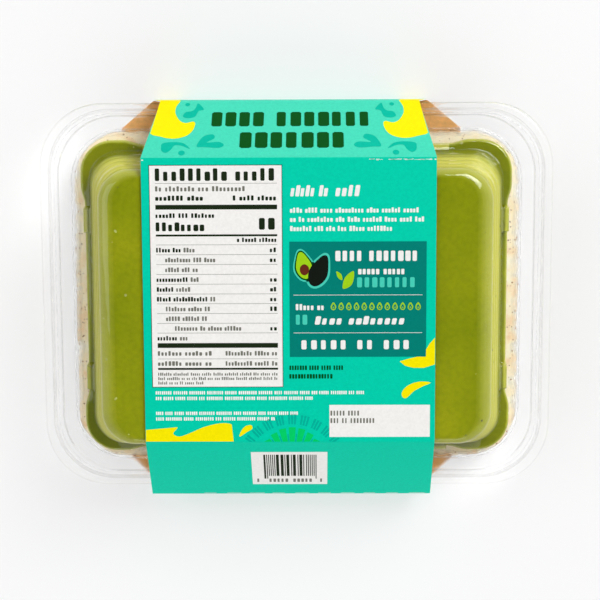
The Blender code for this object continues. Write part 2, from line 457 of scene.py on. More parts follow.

# %% [markdown]
# ## The dip
# Guacamole is wet, so it lies against the wall with no air between. The dip is lofted through the tray's own
# stations, set a little behind the outer face, so that its skin lies inside the wall. Its colour carries
# painted
# light: yellow-green painted highlights on the base's rounded edge and the steps, and a dark olive painted
# shade at the block's foot and in the thin ledge round the block.

# %% Guacamole finish
def ramp(tree, factor, stops):
    """A colour ramp fed by a factor."""
    node = add(tree, "ShaderNodeValToRGB", {"Fac": factor})
    elements = node.color_ramp.elements
    while len(elements) < len(stops):
        elements.new(0.5)
    for element, (place, colour) in zip(elements, stops):
        element.position = place
        element.color = (*colour, 1.0)
    return node.outputs["Color"]


def blend(tree, factor, first, second, kind="MIX"):
    """A colour mix of two sockets or colours."""
    node = add(tree, "ShaderNodeMix", data_type="RGBA", blend_type=kind)
    for key, value in ((0, factor), (6, first), (7, second)):
        if isinstance(value, bpy.types.NodeSocket):
            tree.links.new(value, node.inputs[key])
        else:
            node.inputs[key].default_value = value if key == 0 else (*value, 1.0)
    return node.outputs[2]


def guacamole_finish():
    """Mashed avocado: soft patches of green, fine grain, painted olive shade and painted yellow highlights.
    """
    material, tree, shader, _ = node_tree("guacamole")
    patches = texture(tree, 26.0)
    grain = texture(tree, 420.0)
    green = ramp(tree, patches, [(0.3, (0.188, 0.232, 0.001)), (0.7, (0.280, 0.302, 0.005))])
    fleck = ramp(tree, grain, [(0.32, (0.86, 0.88, 0.80)), (0.6, (1.05, 1.04, 1.08))])
    green = blend(tree, 0.7, green, fleck, "MULTIPLY")
    # The mesh attribute read here holds painted light: its red share mixes in an olive painted shade, its
    # green share a yellow painted highlight.
    painted_light = add(tree, "ShaderNodeAttribute", attribute_name="painted_light")
    parts = add(tree, "ShaderNodeSeparateColor", {"Color": painted_light.outputs["Color"]})
    green = blend(tree, parts.outputs["Red"], green, (0.105, 0.120, 0.002))
    green = blend(tree, parts.outputs["Green"], green, (0.66, 0.63, 0.12))
    tree.links.new(green, shader.inputs["Base Color"])
    shader.inputs["Roughness"].default_value = 0.5
    shader.inputs["Specular IOR Level"].default_value = 0.02
    relief(tree, shader, grain, 0.3, 0.0005)
    return material


guacamole_green = guacamole_finish()

# %% [markdown]
# ## The dip's form
# The dip takes the mould's shape on every side but one: its free surface lies under the lid and keeps the
# soft swirls of filling. A boolean with the tray could give its form, but such cuts are fragile on thin
# walls. So it is lofted like the tray, and each ring carries its share of olive painted shade and of yellow
# painted highlight.

# %% Build the dip
DIP_DEPTH = 0.30
# Painted light on the lugs: they reach up close under the wall, so they get a yellow painted highlight and no
# painted shade.
LUG_PAINTED_LIGHT = (0.0, 0.45)
WIDE_SWIRL = 0.05
FINE_SWIRL = 0.13
SWIRL_HEIGHT = 0.5
UNDERSIDE = (0.96, 0.88, 0.76, 0.62, 0.46, 0.28, 0.10)


def painted_light_along(place, painted_light_shares):
    """The shares of olive painted shade and yellow painted highlight at a place along the run of stations."""
    low = min(int(place), len(painted_light_shares) - 2)
    share = place - low
    return [a + (b - a) * share for a, b in zip(painted_light_shares[low], painted_light_shares[low + 1])]


def underside_ring(points, share):
    """The dip's free surface under the lid, level but for soft swirls."""
    level = []
    for point in points:
        x, y = point.x * share, point.y * share
        swirl = noise.noise(Vector((x * WIDE_SWIRL, y * WIDE_SWIRL, 3.0)))
        swirl += 0.5 * noise.noise(Vector((x * FINE_SWIRL, y * FINE_SWIRL, 7.0)))
        level.append(Vector((x, y, DIP_LEVEL + SWIRL_HEIGHT * swirl * smooth((1.0 - share) * 8.0))))
    return level


dip_stations = block_stations() + mouth_stations()
# Painted light per station, as shares of olive painted shade and yellow painted highlight: a little shade on
# the flat base, highlight on its rounded edge and the steps, shade at the wall's lowest step and the block's
# foot, highlight at the mouth.
dip_painted_light = [(0.12, 0.0)] * 4
dip_painted_light += [(0.0, 0.42 * math.sin(math.radians(90.0) * k / EDGE_STEPS)) for k in range(1, EDGE_STEPS + 1)]
dip_painted_light += [(0.0, 0.80), (0.0, 0.55)] * (WALL_STEPS - 1) + [(0.1, 0.45), (0.3, 0.15)]
dip_painted_light += [(0.70, 0.0), (0.05, 0.0), (0.0, 0.60), (0.0, 0.30)]
dip_face, places = soften([ring(s, DIP_DEPTH) for s in dip_stations], [s.reach for s in dip_stations])
edge_ring = ring(Station(MOUTH, DIP_LEVEL, waist=MOUTH_WAIST), DIP_DEPTH, drop=0.0)
dip_rings = dip_face + [edge_ring] + [underside_ring(edge_ring, share) for share in UNDERSIDE]
# The free surface under the lid gets a little olive painted shade.
painted_light_shares = [painted_light_along(place, dip_painted_light) for place in places] + [(0.2, 0.0)] * (1 + len(UNDERSIDE))
dip = finish_mesh("guacamole_dip", loft(dip_rings), [guacamole_green])
painted_light = dip.data.color_attributes.new("painted_light", "FLOAT_COLOR", "POINT")
around = len(edge_ring)
# Each point takes its ring's painted shade and highlight; points on a lug take the lugs' painted highlight.
for index, datum in enumerate(painted_light.data):
    olive, yellow = painted_light_shares[index // around]
    spot = dip.data.vertices[index].co / MM
    past_foot = max(abs(spot.x) - BLOCK_FOOT[0], abs(spot.y - MIDDLE_Y) - BLOCK_FOOT[1])
    if past_foot > 0.6 and spot.z > LEDGE_TOP + 2.0:
        olive, yellow = LUG_PAINTED_LIGHT
    datum.color = (olive, yellow, 0.0, 1.0)
give(dip, "guacamole")

# %% [markdown]
# ## Smear under the seal shelf
# When the lid goes on, a little dip is pressed out under the narrow shelf, where it dries to a thin peach
# band with brown crumbs. It is a thin ring inside the shelf's wall, and its outer edge wanders.

# %% Smear finish and ring
def smear_finish():
    """Dried film of dip: peach and tan patches, pinkish where it thins out."""
    material, tree, shader, _ = node_tree("dried smear")
    patches = texture(tree, 120.0, 4.0, 0.6)
    stops = [(0.30, (0.88, 0.62, 0.38)), (0.45, (0.97, 0.84, 0.62)), (0.68, (0.99, 0.94, 0.80))]
    tree.links.new(ramp(tree, patches, stops), shader.inputs["Base Color"])
    thin = add(tree, "ShaderNodeAttribute", attribute_name="thin").outputs["Fac"]
    reach = add(tree, "ShaderNodeMath", {0: thin, 1: patches}, operation="ADD")
    solid = add(tree, "ShaderNodeMapRange", {0: reach.outputs[0], 1: 0.95, 2: 1.60, 3: 1.0, 4: 0.0})
    tree.links.new(solid.outputs[0], shader.inputs["Alpha"])
    shader.inputs["Roughness"].default_value = 0.6
    relief(tree, shader, patches, 0.4, 0.0003)
    return material


SMEAR_TOP = SHELF_TOP - DIP_DEPTH
SMEAR_FOOT = DIP_LEVEL + 0.1
dried_smear = smear_finish()


def smear_edge(point):
    """The smear's wandering outer edge near a point of the shelf's edge."""
    wander = noise.noise(Vector((point.x * 0.09, point.y * 0.09, 1.0))) + 0.5 * noise.noise(point * 0.35)
    return point * (1.0 - 0.007 * (1.0 + 0.9 * wander))


mouth_ring = ring(Station(MOUTH, SMEAR_TOP, waist=MOUTH_WAIST), 0.2, drop=0.0)
far_ring = [smear_edge(point) for point in ring(Station(SHELF_EDGE, SMEAR_TOP), 0.5, drop=0.0)]
down = Vector((0.0, 0.0, SMEAR_FOOT - SMEAR_TOP))
smear_rings = [mouth_ring]
smear_rings += [[a.lerp(b, share) for a, b in zip(mouth_ring, far_ring)] for share in (0.25, 0.5, 0.75)]
smear_rings += [far_ring, [point + down for point in far_ring], [point + down for point in mouth_ring]]
smear_bm = loft(smear_rings, closed=False)
loops = list(smear_bm.verts)
first, last = loops[:around], loops[-around:]
for i in range(around):
    j = (i + 1) % around
    smear_bm.faces.new((last[i], last[j], first[j], first[i]))
bmesh.ops.recalc_face_normals(smear_bm, faces=smear_bm.faces)
shelf_smear = finish_mesh("dried_smear", smear_bm, [dried_smear])
thinning = shelf_smear.data.attributes.new("thin", "FLOAT", "POINT")
for index, datum in enumerate(thinning.data):
    datum.value = (0.0, 0.25, 0.5, 0.75, 1.0, 1.0, 0.0)[index // around]
give(shelf_smear, "guacamole", replaces=False)

# %% [markdown]
# ## Crumbs and flecks
# Whole bits in the mash are small, but they are what makes it look like food. They are scattered over the
# faces of the dip, each a squashed pebble of its true size that lies in the skin of the mash.

# %% Scatter the bits
def bit_finish(name, colour):
    """A solid bit of food with a little variation from one to the next."""
    material, tree, shader, _ = node_tree(name)
    dark = tuple(channel * 0.6 for channel in colour)
    tint = ramp(tree, texture(tree, 260.0), [(0.35, dark), (0.65, colour)])
    tree.links.new(tint, shader.inputs["Base Color"])
    shader.inputs["Roughness"].default_value = 0.6
    return material


def scatter(name, host, colour, count, sizes, seed, lowest, tall=0.10):
    """Strews squashed pebbles over those faces of a piece that lie above a height."""
    rng = random.Random(seed)
    faces = [face for face in host.data.polygons if face.center.z > lowest * MM and face.normal.z > 0.02]
    areas = np.cumsum([face.area for face in faces])
    bm = bmesh.new()
    for _ in range(count):
        face = faces[int(np.searchsorted(areas, rng.random() * areas[-1]))]
        corners = [host.data.vertices[index].co / MM for index in face.vertices]
        weights = [rng.random() ** 2 + 0.01 for _ in corners]
        spot = sum((corner * weight for corner, weight in zip(corners, weights)), Vector()) / sum(weights)
        size = rng.uniform(*sizes)
        squash = Matrix.Diagonal((size, size * rng.uniform(0.5, 0.95), tall)).to_4x4()
        facing = face.normal.to_track_quat("Z", "Y").to_matrix().to_4x4()
        turn = facing @ Matrix.Rotation(rng.uniform(0, 6.28), 4, "Z")
        place = Matrix.Translation(spot - Vector((0.0, MIDDLE_Y, 0.0))) @ turn @ squash
        made = bmesh.ops.create_icosphere(bm, subdivisions=2, radius=1.0)["verts"]
        for vert in made:
            vert.co *= 1.0 + 0.35 * noise.noise(vert.co * 1.7 + spot)
            vert.co = place @ vert.co
    piece = finish_mesh(name, bm, [bit_finish(name, colour)])
    return give(piece, "guacamole", replaces=False)


scatter("dark_flecks", dip, (0.075, 0.085, 0.006), 120, (0.18, 0.55), 3, LEDGE_TOP - 1.0)
scatter("pale_flecks", dip, (0.50, 0.52, 0.13), 170, (0.2, 0.8), 5, LEDGE_TOP - 1.0)
scatter("brown_crumbs", shelf_smear, (0.30, 0.12, 0.03), 320, (0.12, 0.42), 11, SMEAR_FOOT)

# %% [markdown]
# ## Paperboard sleeve
# The sleeve is one strip of coated board, white-cored, teal outside and plain brown inside, folded round the
# pack and glued. Each finish is a plain colour with a little fibre in it, so one function makes them all. The
# sloping upper panel faces the key lamp, and its teal is painted a shade paler as painted light. Outside,
# inside, cut edges and that painted-light teal are then four finishes on one closed piece.

# %% Board finishes
def board_finish(name, colour, roughness, grain_scale, grain_share):
    """Printed or bare paperboard with a little fibre in its colour and its surface."""
    material, tree, shader, _ = node_tree(name)
    fibre = texture(tree, grain_scale, 4.0)
    dark = tuple(channel * (1.0 - grain_share) for channel in colour)
    light = tuple(min(1.0, channel * (1.0 + grain_share)) for channel in colour)
    tint = ramp(tree, fibre, [(0.35, dark), (0.65, light)])
    tree.links.new(tint, shader.inputs["Base Color"])
    shader.inputs["Roughness"].default_value = roughness
    shader.inputs["Specular IOR Level"].default_value = 0.03
    relief(tree, shader, fibre, 0.15, 0.0002)
    return material


teal_board = board_finish("teal printed board", (0.0, 0.60, 0.40), 0.5, 900.0, 0.04)
kraft_board = board_finish("brown board inside", (0.86, 0.46, 0.16), 0.85, 500.0, 0.12)
# Painted light: the upper panel's teal is painted a shade paler because that panel faces the key lamp.
painted_light_teal_board = board_finish("teal with painted light of the upper panel", (0.060, 0.655, 0.455), 0.5, 900.0, 0.04)
core_board = board_finish("white cut edge", (0.86, 0.84, 0.80), 0.9, 1500.0, 0.08)

# %% [markdown]
# ## Folding the board
# The real sleeve is cut flat and creased. It could be folded from a flat grid, but its panels change width
# at every crease. So the folded line is written down in side view, with the board's left and right edge at
# each fold. The folds are rounded, and the board is skinned from fold to fold.

# %% Fold the sleeve
SLEEVE_TOP = sleeve_high.z
CREASE_HEIGHT = 15.0
UPPER_FOLD_Y = 69.2
LOWER_FOLD_Y = -61.6
UPPER_CREASE_Y = sleeve_high.y - MIDDLE_Y
LOWER_CREASE_Y = sleeve_low.y - MIDDLE_Y
FOLD_REACH = 0.9
BOARD_COLUMNS = 12
COVER_SIDE = 1.0

Fold = namedtuple("Fold", "y z left right")
sleeve_folds = [
    Fold(-91.5, 0.0, -71.5, 65.5),
    Fold(LOWER_CREASE_Y, CREASE_HEIGHT, -70.2, 64.2),
    Fold(LOWER_FOLD_Y, SLEEVE_TOP, -69.2, 63.6),
    Fold(UPPER_FOLD_Y, SLEEVE_TOP, -69.2, 63.6),
    Fold(UPPER_CREASE_Y, CREASE_HEIGHT, -63.2, 57.6),
    Fold(UPPER_CREASE_Y, 0.0, -67.5, 62.0),
    Fold(79.0, 0.0, sleeve_low.x, sleeve_high.x),
    Fold(-79.0, 0.0, sleeve_low.x, sleeve_high.x),
]


def fold_line(folds, reach, steps=4):
    """The sleeve's outer line as a closed run of folds, each swept round its bend."""
    line = []
    for i, here in enumerate(folds):
        before, after = folds[i - 1], folds[(i + 1) % len(folds)]
        here, before, after = (np.array(fold) for fold in (here, before, after))
        start = here + (before - here) * reach / np.hypot(*(before - here)[:2])
        end = here + (after - here) * reach / np.hypot(*(after - here)[:2])
        for step in range(steps + 1):
            t = step / steps
            line.append(Fold(*(start * (1 - t) ** 2 + here * (2 * t * (1 - t)) + end * t**2)))
    return line


def inner_side(line, i):
    """The direction from the outer face to the inner face at a point of the sleeve's line."""
    ahead, behind = line[(i + 1) % len(line)], line[i - 1]
    along_y, along_z = ahead.y - behind.y, ahead.z - behind.z
    length = math.hypot(along_y, along_z)
    return Vector((0.0, along_z / length, -along_y / length))


def build_sleeve():
    """The board as one closed strip: outer face, inner face and two cut edges."""
    line = fold_line(sleeve_folds, FOLD_REACH)
    bm = bmesh.new()
    outer, inner = [], []
    for i, fold in enumerate(line):
        inwards = inner_side(line, i) * BOARD
        xs = [fold.left + (fold.right - fold.left) * k / BOARD_COLUMNS for k in range(BOARD_COLUMNS + 1)]
        points = [Vector((x, fold.y, fold.z)) for x in xs]
        outer.append([bm.verts.new(point) for point in points])
        inner.append([bm.verts.new(point + inwards) for point in points])
    count = len(line)
    for i in range(count):
        j = (i + 1) % count
        for k in range(BOARD_COLUMNS):
            bm.faces.new((outer[i][k], outer[i][k + 1], outer[j][k + 1], outer[j][k])).material_index = 0
            bm.faces.new((inner[i][k], inner[j][k], inner[j][k + 1], inner[i][k + 1])).material_index = 1
        for k, flip in ((0, False), (BOARD_COLUMNS, True)):
            edge = [outer[i][k], outer[j][k], inner[j][k], inner[i][k]]
            bm.faces.new(edge[::-1] if flip else edge).material_index = 2
    bmesh.ops.recalc_face_normals(bm, faces=bm.faces)
    # Faces of the sloping upper panel get the paler teal, painted light where the panel faces the lamp.
    for face in bm.faces:
        spot = face.calc_center_median()
        if face.material_index == 0 and spot.y > UPPER_FOLD_Y and spot.z > COVER_SIDE:
            face.material_index = 3
    return finish_mesh("paperboard_sleeve", bm, [teal_board, kraft_board, core_board, painted_light_teal_board], 50.0)


give(build_sleeve(), "sleeve")

# %% [markdown]
# ## Print on the sleeve
# The print is laid out as on a press: each ink is one piece, a skin a few hundredths of a millimetre thick
# that lies on its panel. Panels have their own flat coordinates, X across the pack and Y up from the fold.
# Words are greeked: each letter becomes a plain block, so the layout reads as text but says nothing.

# %% Panels and inks
INK = 0.03

Panel = namedtuple("Panel", "origin up out")


def slanted_panel(fold_y, crease_y):
    """The frame of a panel that slopes down from a fold: its origin, its direction up and its outside."""
    down = Vector((0.0, crease_y - fold_y, CREASE_HEIGHT - SLEEVE_TOP)).normalized()
    up = -down if fold_y < 0.0 else down
    return Panel(Vector((0.0, fold_y, SLEEVE_TOP)), up, Vector((1.0, 0.0, 0.0)).cross(up))


base_panel = Panel(Vector((0.0, 0.0, SLEEVE_TOP)), Vector((0.0, 1.0, 0.0)), Vector((0.0, 0.0, 1.0)))
upper_panel = slanted_panel(UPPER_FOLD_Y, UPPER_CREASE_Y)
lower_panel = slanted_panel(LOWER_FOLD_Y, LOWER_CREASE_Y)
for panel in (upper_panel, lower_panel):
    print("panel looks", [round(value, 2) for value in panel.out])


def ink_finish(name, colour):
    """Printing ink on coated board."""
    return board_finish(name, colour, 0.5, 900.0, 0.03)


inks = {
    "white": ink_finish("white ink", (0.86, 0.85, 0.83)),
    "label": ink_finish("white label", (0.88, 0.865, 0.84)),
    "black": ink_finish("black ink", (0.012, 0.022, 0.008)),
    "grey": ink_finish("thin black type", (0.17, 0.17, 0.14)),
    "yellow": ink_finish("yellow ink", (0.93, 0.80, 0.0)),
    "dark_green": ink_finish("dark green ink", (0.0, 0.075, 0.006)),
    "splash_teal": ink_finish("splash teal ink", (0.0, 0.47, 0.33)),
    "ray_teal": ink_finish("ray teal ink", (0.0, 0.43, 0.31)),
    "ray_green": ink_finish("ray green ink", (0.0, 0.60, 0.13)),
    "box_teal": ink_finish("box teal ink", (0.0, 0.205, 0.165)),
    "light_teal": ink_finish("light teal ink", (0.06, 0.60, 0.46)),
    "lime": ink_finish("lime ink", (0.34, 0.62, 0.01)),
    "pit": ink_finish("brown ink", (0.13, 0.022, 0.010)),
    "skin": ink_finish("avocado skin ink", (0.006, 0.009, 0.006)),
}
printed = {}


def ink(colour, panel, outline, layer=1):
    """Lays a closed outline of an ink on a panel, on top of the layers below it."""
    bm = printed.setdefault(colour, bmesh.new())
    top, foot = [], []
    for x, y in outline:
        spot = panel.origin + Vector((x, 0.0, 0.0)) + panel.up * y
        top.append(bm.verts.new(spot + panel.out * (INK * layer)))
        foot.append(bm.verts.new(spot - panel.out * INK))
    face = bm.faces.new(top)
    face.normal_update()
    bm.faces.new(foot[::-1])
    for i in range(len(top)):
        j = (i + 1) % len(top)
        bm.faces.new((top[j], top[i], foot[i], foot[j]))
    if face.normal.dot(panel.out) < 0.0:
        bmesh.ops.reverse_faces(bm, faces=bm.faces[-(len(top) + 2):])


# %% [markdown]
# ## Shapes for the artwork
# The artwork is made of boxes, ovals, avocados, splashes and rows of letters. They could be curve objects,
# but plain lists of points can be mirrored and laid on any panel. Each shape is one small function.

# %% Simple printed shapes
def box(left, bottom, right, top):
    """An upright box by its sides."""
    return [(left, bottom), (right, bottom), (right, top), (left, top)]


def block(left, bottom, width, height, lean=0.0):
    """One greeked letter: a block with its corners taken off, upright or leaning."""
    cut = 0.18 * min(width, height)
    corners = [(cut, 0), (width - cut, 0), (width, cut), (width, height - cut)]
    corners += [(width - cut, height), (cut, height), (0, height - cut), (0, cut)]
    return [(left + x + lean * y, bottom + y) for x, y in corners]


def oval(x, y, across, up, turn=0.0, count=28):
    """An oval by its two half sizes, turned by an angle in degrees."""
    c, s = math.cos(math.radians(turn)), math.sin(math.radians(turn))
    outline = []
    for k in range(count):
        a = 2.0 * math.pi * k / count
        u, v = across * math.cos(a), up * math.sin(a)
        outline.append((x + u * c - v * s, y + u * s + v * c))
    return outline


def pear(x, y, across, up, turn=0.0, count=32):
    """An avocado's outline: an oval whose upper half narrows."""
    c, s = math.cos(math.radians(turn)), math.sin(math.radians(turn))
    outline = []
    for k in range(count):
        a = 2.0 * math.pi * k / count
        v = up * math.sin(a)
        u = across * math.cos(a) * (1.0 - 0.32 * smooth((math.sin(a) + 0.3) / 1.1))
        outline.append((x + u * c - v * s, y + u * s + v * c))
    return outline


def curve(points, steps=5):
    """A closed smooth line through points."""
    outline = []
    count = len(points)
    for i in range(count):
        p0, p1, p2, p3 = (Vector(points[(i + k) % count]) for k in (-1, 0, 1, 2))
        for step in range(steps):
            t = step / steps
            spot = p1 * 2 + (p2 - p0) * t + (p0 * 2 - p1 * 5 + p2 * 4 - p3) * t**2
            outline.append(tuple((spot + (p1 * 3 - p0 - p2 * 3 + p3) * t**3) / 2))
    return outline


def mirrored(outline, middle):
    """An outline's mirror image about an upright line."""
    return [(2.0 * middle - x, y) for x, y in outline]


def words(
    colour, panel, left, bottom, right, height, letters, rng, layer=1, weight=0.72, lean=0.0, capitals=False
):
    """A line of greeked words between two places: blocks for letters, with a space after each word."""
    units = sum(count + 0.7 for count in letters) - 0.7
    pitch = (right - left) / units
    x = left
    for count in letters:
        for _ in range(count):
            low = 0.0 if capitals or rng.random() < 0.35 else 0.26
            wide = pitch * weight * rng.uniform(0.82, 1.15)
            ink(colour, panel, block(x, bottom, wide, height * (1.0 - low), lean), layer)
            x += pitch
        x += 0.7 * pitch


def lines_of(total, rng, low=2, high=8):
    """Word lengths that add up to about a number of letters."""
    letters = []
    while sum(letters) < total:
        letters.append(min(rng.randint(low, high), max(2, total - sum(letters))))
    return letters


# %% [markdown]
# The base panel carries a nutrition table on the left, a block of sales copy and a dark box on the right,
# small print, a date label and a sunburst along the lower fold. The table is built row by row at one pitch.

# %% Nutrition table
rng = random.Random(7)
TABLE = (-65.4, -35.6, -6.0, 65.6)
TABLE_LEFT, TABLE_RIGHT = -62.9, -8.1
ROW_PITCH = 4.49
FIRST_RULE = 29.7


def table_rule(y, thick, colour="black"):
    """A rule across the table, its lower edge at y."""
    ink(colour, base_panel, box(TABLE_LEFT, y, TABLE_RIGHT, y + thick), 3)


def table_words(left, y, right, height, letters, colour="black", weight=0.68):
    """A line of words in the table."""
    words(colour, base_panel, left, y, right, height, letters, rng, 3, weight)


ink("black", base_panel, box(TABLE[0] - 0.3, TABLE[1] - 0.3, TABLE[2] + 0.3, TABLE[3] + 0.3), 1)
ink("label", base_panel, box(*TABLE), 2)
table_words(TABLE_LEFT, 58.7, TABLE_RIGHT, 5.6, [9, 5], weight=0.6)
table_rule(57.5, 0.15, "grey")
table_words(TABLE_LEFT, 54.0, -22.0, 2.3, [2, 8, 3, 9], "grey", 0.6)
table_words(TABLE_LEFT, 49.8, -41.0, 2.3, [7, 4])
table_words(-28.0, 49.8, TABLE_RIGHT, 2.3, [1, 4, 5])
table_rule(45.8, 2.1)
table_words(TABLE_LEFT, 42.0, -36.0, 2.1, [6, 3, 7])
table_words(TABLE_LEFT, 36.0, -40.2, 4.0, [8])
table_words(-16.3, 36.6, TABLE_RIGHT, 5.3, [2])
table_rule(33.6, 0.9)
table_words(-26.3, 31.0, TABLE_RIGHT, 2.0, [1, 5, 6])
rows = [
    (0.0, [5, 3], [4], 2),
    (4.0, [], [9, 3, 4], 2),
    (4.0, [], [5, 3, 2], 0),
    (0.0, [11], [3], 2),
    (0.0, [6], [5], 2),
    (0.0, [5, 12], [2], 2),
    (4.0, [], [7, 5, 2], 2),
    (4.0, [], [5, 6, 2], 0),
    (8.0, [], [8, 2, 5, 6], 2),
    (0.0, [7], [3], 0),
]
LETTER = 1.32
for number, (indent, bold, plain, percent) in enumerate(rows):
    rule_y = FIRST_RULE - number * ROW_PITCH
    table_rule(rule_y, 0.16, "grey")
    x, y = TABLE_LEFT + indent, rule_y - ROW_PITCH + 1.15
    for letters, colour in ((bold, "black"), (plain, "grey")):
        if letters:
            width = LETTER * (sum(letters) + 0.7 * (len(letters) - 1))
            table_words(x, y, x + width, 2.1, letters, colour)
            x += width + LETTER * 0.7
    if percent:
        table_words(TABLE_RIGHT - 3.4, y, TABLE_RIGHT, 2.1, [percent])
table_rule(-17.5, 2.2)
for y in (-21.1, -25.8):
    table_words(TABLE_LEFT, y, -38.0, 2.1, [7, 5, 2], "grey")
    table_words(-32.0, y, TABLE_RIGHT, 2.1, [9, 5, 2], "grey")
table_rule(-22.7, 0.16, "grey")
table_rule(-27.7, 0.9)
for number, right in enumerate((TABLE_RIGHT, TABLE_RIGHT, -42.0)):
    y = -30.4 - 2.05 * number
    table_words(TABLE_LEFT, y, right, 1.4, lines_of(int((right - TABLE_LEFT) / 1.0), rng), "grey", 0.6)

# %% [markdown]
# ## Copy
# To the right of the table stand a slanted heading and three lines of copy in white. Below run four lines
# of small print and two of dark green. Each line is a row of blocks, with words of uneven length.

# %% Sales copy and small print
words("white", base_panel, -2.2, 51.6, 15.0, 5.0, [5, 2], rng, 1, 0.7, 0.15)
words("white", base_panel, 18.0, 51.6, 29.5, 5.0, [4], rng, 1, 0.7, 0.15)
copy_lines = [
    (56.0, [4, 4, 4, 9, 4, 6, 5]),
    (58.4, [2, 2, 8, 3, 4, 6, 4, 4, 3]),
    (44.0, [7, 3, 3, 3, 5, 8]),
]
for number, (right, letters) in enumerate(copy_lines):
    words("white", base_panel, -2.3, 44.2 - 4.15 * number, right, 2.3, letters, rng, 1, 0.72)
for y, right, count in ((-39.2, 31.4, 92), (-41.8, 8.0, 68), (-48.8, 1.0, 64), (-51.4, -9.5, 52)):
    words("white", base_panel, -64.2, y, right, 1.55, lines_of(count, rng, 3, 9), rng, 1, 0.7, 0.0, True)
words("dark_green", base_panel, -2.9, -27.9, 21.9, 2.1, [7, 4, 4, 4], rng, 1, 0.7, 0.0, True)
words("dark_green", base_panel, -3.0, -31.9, 17.0, 2.1, [15], rng, 1, 0.7, 0.0, True)

# %% [markdown]
# ## Dark box
# The dark box holds bold lines between two white rules, half an avocado beside a whole one, two leaves and a
# row of twelve small fruits. Inks lie on top of each other, so each layer gets a height of its own.

# %% Dark box with its avocados
BOX = (-2.7, -21.8, 59.3, 31.1)
ink("box_teal", base_panel, box(*BOX), 2)
words("white", base_panel, 18.1, 22.2, 56.2, 4.7, [4, 7], rng, 3, 0.68, 0.0, True)
words("white", base_panel, 28.4, 16.1, 49.9, 2.5, [5, 5], rng, 3, 0.68, 0.0, True)
words("light_teal", base_panel, 27.9, 10.2, 55.3, 4.6, [8], rng, 3, 0.62, 0.0, True)
for y in (6.6, -10.8):
    ink("white", base_panel, box(-0.9, y, 57.5, y + 0.22), 3)
words("white", base_panel, 0.1, -0.2, 13.3, 2.8, [5, 2], rng, 3)
words("light_teal", base_panel, 0.1, -6.9, 6.2, 4.6, [2], rng, 3, 0.62, 0.0, True)
words("white", base_panel, 8.6, -6.9, 50.0, 3.9, [4, 8], rng, 3, 0.7, 0.2)
words("white", base_panel, 2.6, -18.3, 53.5, 4.2, [5, 2, 3], rng, 3, 0.52, 0.0, True)
for grow, colour, layer in ((1.1, "light_teal", 3), (0.0, "skin", 6)):
    ink(colour, base_panel, pear(10.8, 17.9, 4.4 + grow, 7.6 + grow, -24.0), layer)
for grow, colour, layer in ((1.1, "light_teal", 3), (0.35, "dark_green", 4), (-0.35, "lime", 5)):
    ink(colour, base_panel, pear(3.7, 20.3, 4.1 + grow, 6.6 + grow, 14.0), layer)
ink("pit", base_panel, oval(4.1, 18.3, 2.1, 2.5), 6)
ink("lime", base_panel, curve([(18.5, 17.5), (20.7, 16.2), (21.2, 13.6), (19.3, 14.6)]), 3)
ink("lime", base_panel, curve([(21.5, 9.6), (25.6, 11.6), (26.4, 17.6), (22.4, 14.6)]), 3)
FRUITS = 12
for number in range(FRUITS):
    x = 17.2 + (55.6 - 17.2) * number / (FRUITS - 1)
    ink("lime", base_panel, pear(x, 1.5, 1.3, 1.8, count=18), 3)
    ink("box_teal", base_panel, pear(x, 1.3, 0.75, 1.15, count=14), 4)
    ink("lime", base_panel, oval(x, 1.0, 0.32, 0.32, count=10), 5)

# %% [markdown]
# ## Lower end of the base panel
# A white label carries two short lines. A sunburst rises from the lower fold, and yellow splashes run along
# it and up the right edge. A loop over angles makes the sunburst. The splashes are smooth curves through a
# few points.

# %% Label, sunburst and splashes of the base panel
ink("label", base_panel, box(15.3, -59.2, 61.3, -44.2), 3)
for y, right, letters in ((-49.2, 29.5, [5, 4]), (-52.7, 36.5, [3, 2, 8])):
    words("grey", base_panel, 15.8, y, right, 2.3, letters, rng, 4, 0.5, 0.0, True)
BURST = (-1.8, LOWER_FOLD_Y - 13.4)


def ray(angle, near, far, half_turn):
    """One ray of the sunburst, from the fold outwards, its sides along its own angle."""
    outline = []
    for radius, side in ((near, -1), (far, -1), (far, 1), (near, 1)):
        a = math.radians(angle + side * half_turn)
        radius = max(radius, (LOWER_FOLD_Y + 0.2 - BURST[1]) / math.cos(a))
        outline.append((BURST[0] + radius * math.sin(a), BURST[1] + radius * math.cos(a)))
    return outline


for group in range(-4, 5):
    for stripe in (-1, 0, 1):
        angle = group * 13.6 + stripe * 3.3
        if abs(angle) < 57.0:
            ink("ray_teal", base_panel, ray(angle, 21.8, 26.4, 1.05), 1)
for group in range(-3, 4):
    ink("ray_green", base_panel, ray(group * 13.0, 13.0, 20.4 - 0.25 * group**2, 4.6), 2)
    ink("ray_teal", base_panel, ray(group * 13.0 + 6.5, 13.0, 17.4, 0.9), 1)
wave = [(-69.0, -55.8), (-60.5, -55.0), (-54.5, -54.5), (-56.5, -57.5), (-53.5, -58.9), (-48.5, -57.2)]
wave += [(-41.5, -54.2), (-33.5, -52.6), (-28.7, -53.6), (-28.2, -55.4), (-29.4, -58.0), (-28.7, -61.3)]
ink("yellow", base_panel, curve(wave[1:-1], 4)[4:-12] + [wave[-1], (-69.1, -61.3), wave[0]], 1)
spray = [(-26.0, -59.0), (-25.0, -56.0), (-23.0, -54.0), (-20.6, -53.6), (-20.2, -55.3), (-22.6, -56.9)]
ink("yellow", base_panel, curve(spray), 1)
swoosh = [(47.4, -24.0), (50.5, -23.0), (55.0, -21.9), (59.0, -19.0), (61.0, -15.8), (63.4, -13.0)]
swoosh += [(63.4, -25.4), (58.5, -27.0), (53.5, -27.0), (49.8, -26.0)]
ink("yellow", base_panel, swoosh, 1)
drop = [(61.5, -33.9), (56.5, -33.4), (51.5, -35.0), (48.6, -38.0), (48.6, -40.4)]
